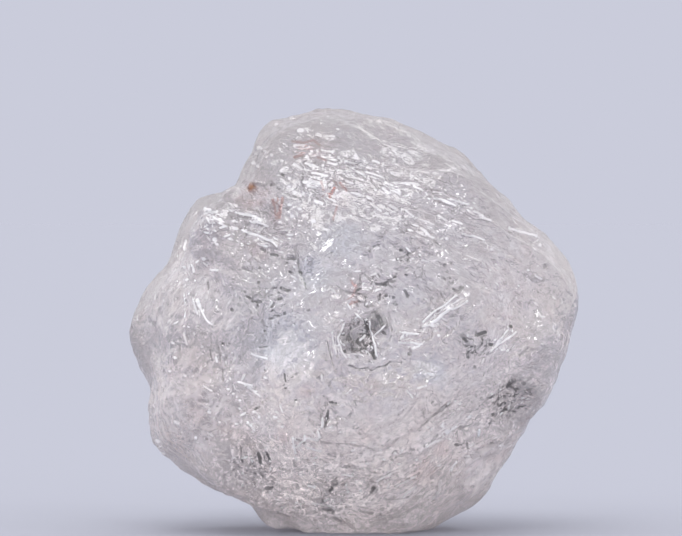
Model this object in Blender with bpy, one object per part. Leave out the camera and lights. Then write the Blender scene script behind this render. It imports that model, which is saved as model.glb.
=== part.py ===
"""Rough diamond: one natural crystal, about 6.3 mm wide, resting on a small cleavage flat.

The stone is a rounded dodecahedroid grown together with smaller lobes on its left and lower right. It is
modelled around its middle point. Every crystal face is a plane at its own distance from the middle, and each
lobe is the rounded shape that its faces enclose. X runs to the right, Y away from the viewer and Z up. Sizes
are in millimetres until the finished stone is scaled to metres.
"""

import math
from typing import NamedTuple

import bmesh
import bpy
import numpy as np
from mathutils import Matrix, Vector, noise

METRES_PER_MM = 0.001

# Driving dimensions, in millimetres.
HALF_WIDTH = 3.15  # from the middle to the right-hand tip
BASE_DROP = 2.93  # from the middle down to the cleavage flat that the stone rests on
TRIANGLES = 9400
MERGE_DISTANCE = 0.0005

# Roundness: the edge rounding of a lobe, and how tightly two lobes meet in the crease between them.
EDGE_SHARPNESS = 17.0
CREASE_SHARPNESS = 46.0

# Finish.
CRYSTAL_COLOUR = (0.93, 0.91, 0.92, 1.0)
FROSTED_ROUGHNESS = 0.25
DIAMOND_IOR = 2.417

# Each face: (bearing, lean, distance). The bearing is its direction round the outline in degrees, from the
# right-hand side through the top. The lean turns it from edge-on (0) to facing the viewer (90), or to the
# back when negative. The distance from the middle is a share of HALF_WIDTH.
MAIN_FACES = {
    "top": (92, 4, 0.966),
    "top_left_corner": (122, 6, 1.000),
    "left_flank": (161, 0, 0.708),
    "left_root": (186, 0, 0.860),
    "crown_right": (65, 0, 0.912),
    "shoulder_right": (46, 2, 0.868),
    "tip_upper": (21, 3, 1.000),
    "tip": (-4, 0, 1.030),
    "tip_lower": (-26, 0, 0.890),
    "lower_right": (-50, 16, 0.910),
    "bottom": (-88, 0, 1.000),
    "bottom_left": (233, 0, 0.925),
    "front": (60, 84, 0.815),
    "front_crown": (84, 46, 0.865),
    "front_shoulder": (38, 44, 0.880),
    "front_tip": (-4, 42, 0.900),
    "front_lower_right": (-46, 44, 0.830),
    "front_bottom": (-98, 40, 0.868),
    "front_left": (176, 50, 0.790),
    "back": (110, -82, 0.800),
    "back_crown": (96, -40, 0.905),
    "back_shoulder": (35, -44, 0.870),
    "back_tip": (-14, -42, 0.890),
    "back_lower_right": (-62, -45, 0.850),
    "back_bottom": (-120, -42, 0.860),
    "back_left": (180, -48, 0.800),
}
LEFT_LOBE_FACES = {
    "top": (96, 0, 0.658),
    "top_left_corner": (134, 8, 0.880),
    "upper_left": (159, 10, 0.864),
    "left": (184, 6, 0.935),
    "lower_left": (201, 0, 1.125),
    "bottom_left": (222, 0, 1.150),
    "bottom": (254, 0, 0.860),
    "front": (200, 82, 0.780),
    "front_upper": (118, 50, 0.740),
    "front_left": (176, 42, 0.905),
    "front_bottom": (232, 44, 0.890),
    "back_left": (180, -30, 0.860),
    "back": (180, -70, 0.620),
}
BACK_LOBE_FACES = {
    "upper_left": (146, -4, 0.835),
    "left": (182, -8, 1.165),
    "lower_left": (203, -4, 1.000),
    "bottom": (240, -6, 0.900),
    "front": (184, 34, 0.830),
    "back": (180, -62, 0.800),
    "top": (110, -10, 0.700),
    "back_bottom": (215, -44, 0.860),
}
FLANGE_FACES = {
    "inner_right": (12, -10, 0.760),
    "right": (-32, -14, 0.868),
    "outer": (-52, -16, 0.960),
    "bottom": (-74, -12, 0.930),
    "left": (-118, -10, 0.830),
    "front": (-48, 30, 0.780),
    "front_left": (-110, 40, 0.740),
    "back": (-52, -58, 0.850),
}

# A side lobe grows out of the main body towards its heading, and is closed inside it by hidden faces.
SIDE_LOBES = (
    (LEFT_LOBE_FACES, 185),
    (BACK_LOBE_FACES, 175),
    (FLANGE_FACES, 310),
)
HIDDEN_FACE_TURNS = (-50, 0, 50)
HIDDEN_FACE_LEANS = (-60, 0, 60)
HIDDEN_FACE_SHARE = 0.50

# Uneven swellings over the whole stone: (size, height) of each layer of noise.
SWELLINGS = ((1.30, 0.100), (0.60, 0.060), (0.32, 0.030))


class Terraces(NamedTuple):
    """Growth layers, stacked in one direction of the crystal and seen as ledges where they end."""

    stack: tuple[float, float, float]
    bearing: float
    lean: float
    reach_degrees: float
    spacing: float
    height: float


class Lump(NamedTuple):
    """A lump that stands out of the outline."""

    bearing: float
    lean: float
    reach_degrees: float
    height: float


class Hollow(NamedTuple):
    """A hollow etched into the front, placed as seen from the front."""

    x: float
    z: float
    radius: float
    depth: float


class Valley(NamedTuple):
    """A valley in the front, placed as seen from the front. It fades towards its end."""

    start: tuple[float, float]
    end: tuple[float, float]
    width: float
    depth: float


TERRACES = (
    Terraces((0.30, 0.32, 0.90), 58, 34, 44, 0.36, 0.075),
    Terraces((0.34, 0.20, 0.90), 140, 40, 22, 0.31, 0.045),
    Terraces((0.58, 0.20, -0.79), -38, 40, 32, 0.38, 0.070),
    Terraces((0.30, -0.42, 0.86), 70, -44, 42, 0.40, 0.070),
    Terraces((-0.62, -0.30, -0.72), 215, -30, 34, 0.42, 0.060),
)
RISER_SHARE = 0.28
TERRACE_WAVER = 0.10
TERRACE_WAVER_SIZE = 0.90

LUMPS = (
    Lump(182, -8, 8, 0.130),
    Lump(170, -8, 7, 0.110),
    Lump(210, 0, 8, 0.130),
    Lump(225, 0, 7, 0.100),
    Lump(245, 2, 6, 0.180),
    Lump(14, 0, 9, 0.050),
    Lump(117, 6, 6, 0.050),
    Lump(128, 8, 6, 0.070),
)

HOLLOWS = (
    Hollow(0.03, -0.09, 0.27, 0.110),
    Hollow(-0.92, 0.55, 0.30, 0.050),
    Hollow(1.55, 0.66, 0.26, 0.045),
    Hollow(2.18, -1.15, 0.40, 0.080),
    Hollow(-0.35, -1.15, 0.28, 0.045),
    Hollow(-1.35, -1.80, 0.34, 0.060),
)
# The cracked rim raised round the first hollow.
RIM_RADIUS = 0.40
RIM_WIDTH = 0.09
RIM_HEIGHT = 0.030

VALLEYS = (
    Valley((-1.62, 2.02), (-0.58, 0.42), 0.28, 0.170),
    Valley((-2.02, 0.45), (-1.82, -2.30), 0.20, 0.050),
    Valley((1.85, -1.10), (1.05, -1.75), 0.16, 0.050),
    Valley((-0.10, -2.25), (-0.42, -2.62), 0.16, 0.050),
    Valley((2.25, -1.60), (0.80, -2.80), 0.14, 0.110),
)
FRONT_FADE = 0.6
OUTLINE_WAVER = 0.16
OUTLINE_WAVER_SIZE = 0.33


def face_normal(bearing, lean):
    """Outward direction of a face, from its bearing round the outline and its lean to the viewer."""
    round_outline, to_viewer = math.radians(bearing), math.radians(lean)
    return (
        math.cos(round_outline) * math.cos(to_viewer),
        -math.sin(to_viewer),
        math.sin(round_outline) * math.cos(to_viewer),
    )


def hidden_faces(heading):
    """The faces that close a side lobe inside the main body, opposite to the way it grows."""
    return [
        (heading + 180 + turn, lean, HIDDEN_FACE_SHARE)
        for turn in HIDDEN_FACE_TURNS
        for lean in HIDDEN_FACE_LEANS
    ]


def lobe_reach(directions, faces):
    """How far a lobe reaches from the middle in each direction, with its edges rounded."""
    closeness = np.zeros(len(directions))
    for bearing, lean, share in faces:
        facing = directions @ np.array(face_normal(bearing, lean)) / (share * HALF_WIDTH)
        closeness += np.maximum(facing, 0.0) ** EDGE_SHARPNESS
    return closeness ** (-1.0 / EDGE_SHARPNESS)


def stone_reach(directions):
    """How far the whole stone reaches: the lobes grown together, with a crease where two of them meet."""
    lobes = [list(MAIN_FACES.values())]
    lobes += [list(faces.values()) + hidden_faces(heading) for faces, heading in SIDE_LOBES]
    total = sum(lobe_reach(directions, faces) ** CREASE_SHARPNESS for faces in lobes)
    return total ** (1.0 / CREASE_SHARPNESS)


def smooth_step(value):
    """0 below 0, 1 above 1, and an even rise between them."""
    value = np.clip(value, 0.0, 1.0)
    return value * value * (3.0 - 2.0 * value)


def noise_at(points, size):
    """Noise from -1 to 1 at each point, whose bumps are about as wide as the size."""
    return np.array([noise.noise(Vector(point) / size) for point in points])


def degrees_away(directions, bearing, lean):
    """Angle between each direction and the one with this bearing and lean."""
    return np.degrees(np.arccos(np.clip(directions @ np.array(face_normal(bearing, lean)), -1.0, 1.0)))


def swelling_height(points):
    """Height of the low, uneven swellings."""
    return sum(height * noise_at(points, size) for size, height in SWELLINGS)


def terrace_height(points, directions, terraces, waver):
    """Height of one set of growth terraces: each layer swells towards its ledge and then drops in."""
    stack = np.array(terraces.stack) / np.linalg.norm(terraces.stack)
    level = (points @ stack + waver) / terraces.spacing
    within = level - np.floor(level)
    ledge = within - smooth_step((within - 1.0 + RISER_SHARE) / RISER_SHARE)
    away = degrees_away(directions, terraces.bearing, terraces.lean)
    return terraces.height * ledge * smooth_step(2.0 * (1.0 - away / terraces.reach_degrees))


def lump_height(directions):
    """Height of the lumps on the outline."""
    total = np.zeros(len(directions))
    for lump in LUMPS:
        away = degrees_away(directions, lump.bearing, lump.lean)
        total += lump.height * np.exp(-((away / lump.reach_degrees) ** 2))
    return total


def hollow_height(seen):
    """Depth of the etched hollows and height of the rim, for points as seen from the front."""
    total = np.zeros(len(seen))
    for hollow in HOLLOWS:
        distance = np.hypot(seen[:, 0] - hollow.x, seen[:, 1] - hollow.z)
        total -= hollow.depth * smooth_step(1.5 * (1.0 - distance / hollow.radius))
    distance = np.hypot(seen[:, 0] - HOLLOWS[0].x, seen[:, 1] - HOLLOWS[0].z)
    return total + RIM_HEIGHT * np.exp(-(((distance - RIM_RADIUS) / RIM_WIDTH) ** 2))


def valley_height(seen):
    """Depth of the valleys, for points as seen from the front."""
    total = np.zeros(len(seen))
    for valley in VALLEYS:
        start, run = np.array(valley.start), np.array(valley.end) - np.array(valley.start)
        along = np.clip((seen - start) @ run / (run @ run), 0.0, 1.0)
        distance = np.linalg.norm(seen - start - along[:, None] * run, axis=1)
        total -= valley.depth * (1.0 - along**2) * np.exp(-((distance / valley.width) ** 2))
    return total


def front_features(points):
    """Height of the hollows, rim and valleys, whose outlines waver. They fade out towards the back."""
    seen = points[:, [0, 2]].copy()
    seen[:, 0] += OUTLINE_WAVER * noise_at(points, OUTLINE_WAVER_SIZE)
    seen[:, 1] += OUTLINE_WAVER * noise_at(points[:, [2, 0, 1]], OUTLINE_WAVER_SIZE)
    return (hollow_height(seen) + valley_height(seen)) * smooth_step(-points[:, 1] / FRONT_FADE)


def stone_points(directions):
    """The finished surface point in each direction."""
    points = directions * stone_reach(directions)[:, None]
    waver = TERRACE_WAVER * noise_at(points, TERRACE_WAVER_SIZE)
    relief = swelling_height(points) + lump_height(directions) + front_features(points)
    for terraces in TERRACES:
        relief += terrace_height(points, directions, terraces, waver)
    return points + directions * relief[:, None]


def clear_scene():
    """Empties the startup scene."""
    for obj in list(bpy.data.objects):
        bpy.data.objects.remove(obj)


def ball_of_directions(name):
    """A unit ball of even triangles, whose points are the directions in which the stone is measured."""
    bpy.ops.mesh.primitive_ico_sphere_add(subdivisions=7, radius=1.0)
    ball = bpy.context.active_object
    ball.name = name
    ball.data.name = name
    points = np.empty(len(ball.data.vertices) * 3)
    ball.data.vertices.foreach_get("co", points)
    points = points.reshape(-1, 3)
    return ball, points / np.linalg.norm(points, axis=1, keepdims=True)


def thin_out(stone):
    """Brings the stone down to its number of triangles, keeping the ridges."""
    thin = stone.modifiers.new("thin", "DECIMATE")
    thin.ratio = TRIANGLES / len(stone.data.polygons)
    bpy.ops.object.modifier_apply(modifier=thin.name)


def cleave_base(stone):
    """Cleaves the stone level at its base, closes the cut with one flat face and smooths the rest."""
    shape = bmesh.new()
    shape.from_mesh(stone.data)
    for face in shape.faces:
        face.smooth = True
    bmesh.ops.bisect_plane(
        shape,
        geom=shape.verts[:] + shape.edges[:] + shape.faces[:],
        dist=MERGE_DISTANCE,
        plane_co=(0.0, 0.0, -BASE_DROP),
        plane_no=(0.0, 0.0, -1.0),
        clear_outer=True,
    )
    rim = [edge for edge in shape.edges if edge.is_boundary]
    base = bmesh.ops.contextual_create(shape, geom=rim)["faces"][0]
    base.smooth = False
    base.normal_update()
    if base.normal.z > 0.0:
        base.normal_flip()
    shape.to_mesh(stone.data)
    shape.free()


def stand_on_origin(stone):
    """Puts the bottom centre of the stone's box on the origin, and scales the stone to metres."""
    points = np.array([vertex.co for vertex in stone.data.vertices])
    low, high = points.min(axis=0), points.max(axis=0)
    bottom_centre = Vector(((low[0] + high[0]) / 2, (low[1] + high[1]) / 2, low[2]))
    stone.data.transform(Matrix.Scale(METRES_PER_MM, 4) @ Matrix.Translation(-bottom_centre))
    stone.data.update()


def frosted_crystal():
    """Colourless, slightly warm crystal with a frosted skin."""
    material = bpy.data.materials.new("frosted_crystal")
    material.use_nodes = True
    shader = material.node_tree.nodes["Principled BSDF"]
    shader.inputs["Base Color"].default_value = CRYSTAL_COLOUR
    shader.inputs["Metallic"].default_value = 0.0
    shader.inputs["Roughness"].default_value = FROSTED_ROUGHNESS
    shader.inputs["IOR"].default_value = DIAMOND_IOR
    shader.inputs["Transmission Weight"].default_value = 1.0
    return material


def move_to_collection(obj, name):
    """Puts the object in a collection of its own."""
    collection = bpy.data.collections.new(name)
    bpy.context.scene.collection.children.link(collection)
    for old in list(obj.users_collection):
        old.objects.unlink(obj)
    collection.objects.link(obj)


def build():
    """Builds the stone, standing on its cleavage flat."""
    clear_scene()
    stone, directions = ball_of_directions("rough_diamond")
    stone.data.vertices.foreach_set("co", stone_points(directions).ravel())
    thin_out(stone)
    cleave_base(stone)
    stand_on_origin(stone)
    stone.data.materials.append(frosted_crystal())
    move_to_collection(stone, "rough_diamond_parts")


build()
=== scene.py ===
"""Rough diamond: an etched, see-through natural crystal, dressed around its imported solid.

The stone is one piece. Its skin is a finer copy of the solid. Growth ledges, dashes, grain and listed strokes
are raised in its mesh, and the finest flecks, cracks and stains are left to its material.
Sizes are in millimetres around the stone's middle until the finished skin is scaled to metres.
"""

import logging
import math
from collections.abc import Iterator
from dataclasses import dataclass, field, replace
from enum import Enum
from itertools import product

import bpy
import numpy as np
from mathutils import Matrix, Vector


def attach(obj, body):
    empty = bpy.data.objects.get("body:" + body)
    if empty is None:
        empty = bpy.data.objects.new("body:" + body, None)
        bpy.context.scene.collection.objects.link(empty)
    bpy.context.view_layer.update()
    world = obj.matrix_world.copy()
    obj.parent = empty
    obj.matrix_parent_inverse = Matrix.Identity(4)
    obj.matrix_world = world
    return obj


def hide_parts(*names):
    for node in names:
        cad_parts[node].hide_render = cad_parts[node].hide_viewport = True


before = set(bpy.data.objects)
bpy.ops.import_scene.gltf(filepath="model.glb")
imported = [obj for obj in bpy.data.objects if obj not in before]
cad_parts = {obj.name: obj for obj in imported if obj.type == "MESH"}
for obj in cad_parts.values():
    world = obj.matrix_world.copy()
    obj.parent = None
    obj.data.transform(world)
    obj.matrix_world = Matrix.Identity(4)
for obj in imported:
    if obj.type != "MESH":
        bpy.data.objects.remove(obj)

LOG = logging.getLogger("rough_diamond")
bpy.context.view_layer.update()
METRES_PER_MM = 0.001
MIDDLE_HEIGHT = 2.93  # the stone's middle above the surface that it rests on
SEED = 8724
PIXELS_PER_MM = 70.5  # scale of the picture
MIDDLE_SEEN = (355.0, 324.0)  # the stone's middle in the picture, in pixels
FAR = 99.0  # pixels: farther than a stroke reaches
DOT_HEIGHT = 0.016
X, Y, Z = 0, 1, 2  # columns of a point's coordinates
MIX_FIRST, MIX_SECOND, MIX_RESULT = 6, 7, 2  # sockets of a mix node that carry colours
SKY_DRAWS = 20000  # directions that the floor's light is worked out from

Triple = tuple[float, float, float]
Pair = tuple[float, float]


class Mark(Enum):
    """Kind of stroke on the front, by the name that the mesh keeps it under."""

    # A ridge's tone is a painted highlight and a groove's a painted shade; a stain is the stone's own colour.
    RIDGE = "ridge"
    GROOVE = "groove"
    STAIN = "stain"


class Reading(Enum):
    """What is read from each point of the skin's mesh."""

    PLACE = "co"
    NORMAL = "normal"


class Domain(Enum):
    """What part of the skin's mesh keeps a value."""

    POINTS = "POINT"
    CORNERS = "CORNER"


def smooth_step(value: np.ndarray) -> np.ndarray:
    """An even rise from 0 at 0 to 1 at 1, level outside."""
    value = np.clip(value, 0.0, 1.0)
    return value * value * (3.0 - 2.0 * value)


def rising(value: np.ndarray, start: float, end: float) -> np.ndarray:
    """A smooth rise from 0 where the value is start to 1 where it is end."""
    return smooth_step((value - start) / (end - start))


def fade(distance: np.ndarray, plateau: float = 1.0) -> np.ndarray:
    """A smooth fall from 1 inside to 0 at a distance of 1. Its level middle grows with plateau."""
    return smooth_step(plateau * (1.0 - distance))


def front_view(points: np.ndarray) -> np.ndarray:
    """X and Z of each point, as they are seen from the front."""
    return points[:, [X, Z]]


def way_out(points: np.ndarray) -> np.ndarray:
    """How far each point is from the middle, as seen from the front."""
    return np.hypot(points[:, X], points[:, Z])


def unit(direction: Triple) -> np.ndarray:
    """The direction, with a length of 1."""
    return np.array(direction) / np.linalg.norm(direction)


def heading(bearing: float, lean: float) -> np.ndarray:
    """Outward direction of a place on the stone.

    Args:
        bearing: Degrees round the outline, from the right-hand side through the top.
        lean: Degrees from the outline towards the viewer, or to the back when negative.

    Returns:
        The direction as an array of length 1.
    """
    around, towards = math.radians(bearing), math.radians(lean)
    return np.array(
        (
            math.cos(around) * math.cos(towards),
            -math.sin(towards),
            math.sin(around) * math.cos(towards),
        )
    )


@dataclass
class Grain:
    """Repeatable noise in space, drawn from one seed.

    Attributes:
        seed: The seed of the noise.
        cells: How many cells it has before it repeats.
        order: The cells in a shuffled order.
        slopes: A slope for each cell.
    """

    seed: int
    cells: int = 512
    order: np.ndarray = field(init=False, repr=False)
    slopes: np.ndarray = field(init=False, repr=False)

    def __post_init__(self) -> None:
        """Draws the tables that the noise is read from."""
        draw = np.random.default_rng(self.seed)
        self.order = draw.permutation(self.cells)
        slopes = draw.normal(size=(self.cells, 3))
        self.slopes = slopes / np.linalg.norm(slopes, axis=1, keepdims=True)

    def _entry(self, cell: np.ndarray) -> np.ndarray:
        """Place in the tables for each cell of the grid.

        Args:
            cell: Whole numbers, one row of three for each cell.

        Returns:
            One whole number for each cell.
        """
        entry = self.order[cell[:, 0] % self.cells]
        entry = self.order[(entry + cell[:, 1]) % self.cells]
        return self.order[(entry + cell[:, 2]) % self.cells]

    def waves(self, points: np.ndarray, size: float) -> np.ndarray:
        """Smooth noise.

        Args:
            points: Where it is read, one row for each point.
            size: About how wide its bumps are.

        Returns:
            A number from about -1 to 1 for each point.
        """
        places = points / size
        cell = np.floor(places).astype(int)
        within = places - cell
        ease = within**3 * (within * (within * 6.0 - 15.0) + 10.0)
        total = np.zeros(len(points))
        for corner in product((0, 1), repeat=3):
            step = np.array(corner)
            slope = self.slopes[self._entry(cell + step)]
            share = np.prod(np.where(step == 1, ease, 1.0 - ease), axis=1)
            total += share * np.einsum("ij,ij->i", slope, within - step)
        return 1.5 * total

    def layers(self, points: np.ndarray, size: float, count: int) -> np.ndarray:
        """Smooth noise with finer and finer layers on it.

        Args:
            points: Where it is read.
            size: Width of the widest bumps.
            count: How many layers, each half as wide and half as high as the last.

        Returns:
            A number from about -1 to 1 for each point.
        """
        scales = [0.5**step for step in range(count)]
        return sum(scale * self.waves(points, size * scale) for scale in scales) / sum(scales)


def squeezed(points: np.ndarray, stack: np.ndarray, stretch: float) -> np.ndarray:
    """Points drawn together along the growth layers, so that noise read there runs along them.

    Args:
        points: The points, one row each.
        stack: The direction in which the layers are stacked.
        stretch: How many times longer than wide the noise becomes.

    Returns:
        The moved points.
    """
    level = points @ stack
    return points / stretch + np.outer(level * (1.0 - 1.0 / stretch), stack)


@dataclass(frozen=True)
class Sector:
    """A part of the surface whose ledges and dashes run one way.

    Attributes:
        bearing: Where its middle is round the outline, in degrees.
        lean: How far its middle leans to the viewer, in degrees.
        reach: How far it reaches round its middle, in degrees.
        stack: The direction in which its growth layers are stacked.
        spacing: Width of one layer.
        height: Height of a layer's ledge.
        spread: How far its dashes turn away from the layers, in degrees.
        dash: Height of its dashes, as a share of the usual one.
        length: Length of its dashes, as a share of the usual one.
        order: How strongly its finest flecks lie along the layers.
    """

    bearing: float
    lean: float
    reach: float
    stack: Triple
    spacing: float
    height: float
    spread: float
    dash: float
    length: float
    order: float

    def weight(self, directions: np.ndarray) -> np.ndarray:
        """How much of the surface in each direction belongs to the sector, from 0 to 1."""
        facing = np.clip(directions @ heading(self.bearing, self.lean), -1.0, 1.0)
        return fade(np.degrees(np.arccos(facing)) / self.reach, 1.6)


SECTORS = (
    Sector(58, 34, 52, (0.30, 0.32, 0.90), 0.115, 0.006, 8.0, 0.4, 1.4, 1.3),
    Sector(140, 38, 30, (0.34, 0.20, 0.90), 0.105, 0.006, 12.0, 0.5, 1.4, 1.1),
    Sector(-38, 38, 46, (0.58, 0.20, -0.79), 0.130, 0.008, 16.0, 1.1, 1.2, 0.9),
    Sector(190, 30, 40, (0.93, 0.30, -0.16), 0.160, 0.004, 30.0, 0.9, 1.0, 0.5),
    Sector(250, 35, 38, (0.50, 0.40, -0.76), 0.180, 0.003, 60.0, 1.5, 0.9, 0.1),
    Sector(20, 88, 34, (0.30, 0.40, -0.86), 0.180, 0.003, 70.0, 1.2, 0.9, 0.2),
    Sector(70, -44, 60, (0.30, -0.42, 0.86), 0.130, 0.012, 14.0, 1.0, 1.2, 0.9),
    Sector(215, -40, 60, (-0.62, -0.30, -0.72), 0.140, 0.010, 20.0, 1.0, 1.0, 0.7),
    Sector(-40, -45, 50, (0.58, -0.30, -0.75), 0.130, 0.010, 16.0, 1.0, 1.0, 0.9),
)


@dataclass(frozen=True)
class Swelling:
    """A place where the stone's outline stands out a little more than the solid's.

    Attributes:
        bearing: Where it is round the outline, in degrees.
        reach: How far it reaches to each side, in degrees.
        height: How far it stands out.
    """

    bearing: float
    reach: float
    height: float

    def heights(self, points: np.ndarray) -> np.ndarray:
        """How far the swelling lifts each point.

        Args:
            points: Points around the stone's middle.

        Returns:
            The height at each point.
        """
        bearings = np.degrees(np.arctan2(points[:, Z], points[:, X]))
        away = np.abs((bearings - self.bearing + 180.0) % 360.0 - 180.0)
        return self.height * fade(away / self.reach, 1.4) * rising(way_out(points), 1.17, 2.47)


SWELLINGS = (
    Swelling(115.0, 7.0, 0.035),
    Swelling(129.0, 9.0, 0.085),
    Swelling(147.0, 10.0, 0.060),
    Swelling(175.0, 14.0, 0.075),
    Swelling(207.0, 12.0, 0.070),
)


@dataclass(frozen=True)
class Dashes:
    """Short straight ridges and grooves scattered over the stone, one in each cell of a grid.

    Attributes:
        size: Width of a cell.
        width: Half the width of a dash.
        height: Height of the highest dash.
        grooves: Share of the dashes that are cut in and not raised.
        seed: The seed that they are drawn from.
        reach: Half the side of the grid.
    """

    size: float
    width: float
    height: float
    grooves: float
    seed: int
    reach: float = 3.7

    def heights(self, points: np.ndarray) -> np.ndarray:
        """Height of the dashes at each point.

        Args:
            points: The skin's points.

        Returns:
            The height of the dashes, below zero in a groove.
        """
        count = int(2.0 * self.reach / self.size) + 1
        draw = np.random.default_rng(self.seed)
        corner = np.array(np.meshgrid(*[np.arange(count)] * 3, indexing="ij")).reshape(3, -1).T
        spots = (corner + draw.random(corner.shape)) * self.size - self.reach
        outwards = spots / np.linalg.norm(spots, axis=1, keepdims=True)
        weights = np.array([sector.weight(outwards) for sector in SECTORS]) + 0.02
        chosen = np.argmax(weights * draw.random(weights.shape), axis=0)
        stacks = np.array([unit(sector.stack) for sector in SECTORS])[chosen]
        spreads, shares, lengths = (
            np.array([getattr(sector, name) for sector in SECTORS])[chosen]
            for name in ("spread", "dash", "length")
        )
        along = np.cross(outwards, stacks)
        along /= np.maximum(np.linalg.norm(along, axis=1, keepdims=True), 0.001)
        turn = np.radians(spreads) * draw.normal(size=len(spots))
        along = along * np.cos(turn)[:, None] + np.cross(outwards, along) * np.sin(turn)[:, None]
        half = self.size * lengths * (0.05 + 0.50 * draw.random(len(spots)))
        height = self.height * shares * draw.random(len(spots)) ** 1.5
        height *= np.where(draw.random(len(spots)) < self.grooves, -1.0, 1.0)
        table = np.column_stack((spots, outwards, along, half, height)).astype(np.float32)
        return self.sum_up(points.astype(np.float32), table, count)

    def sum_up(self, points: np.ndarray, table: np.ndarray, count: int) -> np.ndarray:
        """Adds up the dashes of the cells around each point.

        Args:
            points: The skin's points.
            table: Place, outward direction, run, half length and height of each cell's dash.
            count: Cells along one side of the grid.

        Returns:
            The height at each point.
        """
        cell = np.floor((points + self.reach) / self.size).astype(int)
        total = np.zeros(len(points), np.float32)
        for beside in product((-1, 0, 1), repeat=3):
            near = np.clip(cell + np.array(beside), 0, count - 1)
            row = table[(near[:, 0] * count + near[:, 1]) * count + near[:, 2]]
            away = points - row[:, 0:3]
            off = np.einsum("ij,ij->i", away, row[:, 3:6])
            away -= off[:, None] * row[:, 3:6]
            run = np.einsum("ij,ij->i", away, row[:, 6:9])
            across = np.einsum("ij,ij->i", away, away) - run**2
            past = np.maximum(np.abs(run) - row[:, 9], 0.0)
            distance = np.sqrt(np.maximum(across, 0.0) + past**2)
            total += row[:, 10] * fade(distance / self.width) * fade(np.abs(off) / self.size, 1.6)
        return total


@dataclass(frozen=True)
class Stroke:
    """A ridge with a painted highlight, a groove with painted shade, or a stain on the front, placed as it is
    seen in the picture.

    Attributes:
        line: The points that it runs through, in pixels from the picture's upper left corner.
        width: Half its width, in pixels.
        tone: How bright or dark it is: the strength of a ridge's painted highlight, a groove's painted shade,
            or a stain.
        height: Its height in millimetres, or its depth.
    """

    line: tuple[Pair, ...]
    width: float = 1.3
    tone: float = 0.85
    height: float = 0.022

    def pieces(self, seen: np.ndarray) -> Iterator[np.ndarray]:
        """Where each point lies beside each straight piece of the stroke.

        Args:
            seen: X and Z of each point.

        Yields:
            For each piece: the distance along it from its middle, the distance to its side, half its length
            and the distance from it, one row for each point, all in half widths of the stroke.
        """
        corners = (np.array(self.line, float) - MIDDLE_SEEN) * (1.0, -1.0) / PIXELS_PER_MM
        for start, end in zip(corners, corners[1:]):
            half = np.linalg.norm(end - start) / 2.0
            run = (end - start) / (2.0 * half)
            away = seen - (start + end) / 2.0
            along, beside = away @ run, away @ np.array((-run[1], run[0]))
            distance = np.hypot(np.maximum(np.abs(along) - half, 0.0), beside)
            rows = np.column_stack((along, beside, np.full(len(seen), half), distance))
            yield rows * PIXELS_PER_MM / self.width

    def heights(self, seen: np.ndarray) -> np.ndarray:
        """Height of the stroke in the mesh at each point.

        Args:
            seen: X and Z of each point.

        Returns:
            The height at each point, 0 away from the stroke.
        """
        nearest = np.min([piece[:, 3] for piece in self.pieces(seen)], axis=0)
        return self.height * fade(nearest * self.width / (1.4 * self.width + 1.0))


def lines(*rows: tuple[float, ...]) -> tuple[Stroke, ...]:
    """Straight strokes: X and Y of the ends, then width, tone and height if they aren't the usual."""
    return tuple(Stroke(((x, y), (end_x, end_y)), *rest) for x, y, end_x, end_y, *rest in rows)


def dots(*rows: tuple[float, ...]) -> tuple[Stroke, ...]:
    """Strokes that are hardly longer than they are wide.

    Args:
        rows: X and Y of a dot's middle, half its width, and its tone if it isn't the usual one.

    Returns:
        The strokes.
    """
    made = []
    for x, y, size, *tone in rows:
        ends = ((x - 0.3 * size, y), (x + 0.3 * size, y))
        made.append(Stroke(ends, size, *(tone or (0.8,)), DOT_HEIGHT))
    return tuple(made)


def nearest_stroke(strokes: tuple[Stroke, ...], seen: np.ndarray) -> tuple[np.ndarray, np.ndarray]:
    """Where each point lies beside the stroke that is nearest to it.

    Args:
        strokes: The strokes.
        seen: X and Z of each point.

    Returns:
        Its place along and beside the stroke's piece and the piece's half length, in half widths, and how
        bright or dark the stroke is there.
    """
    found = np.zeros((len(seen), 3))
    tones = np.zeros(len(seen))
    nearest = np.full(len(seen), FAR)
    for stroke in strokes:
        for piece in stroke.pieces(seen):
            off = (piece[:, 3] - 1.0) * stroke.width
            closer = off < nearest
            nearest[closer] = off[closer]
            found[closer] = piece[closer, :3]
            tones[closer] = stroke.tone
    return found, tones * rising(nearest, 7.2, 3.2)
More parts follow.
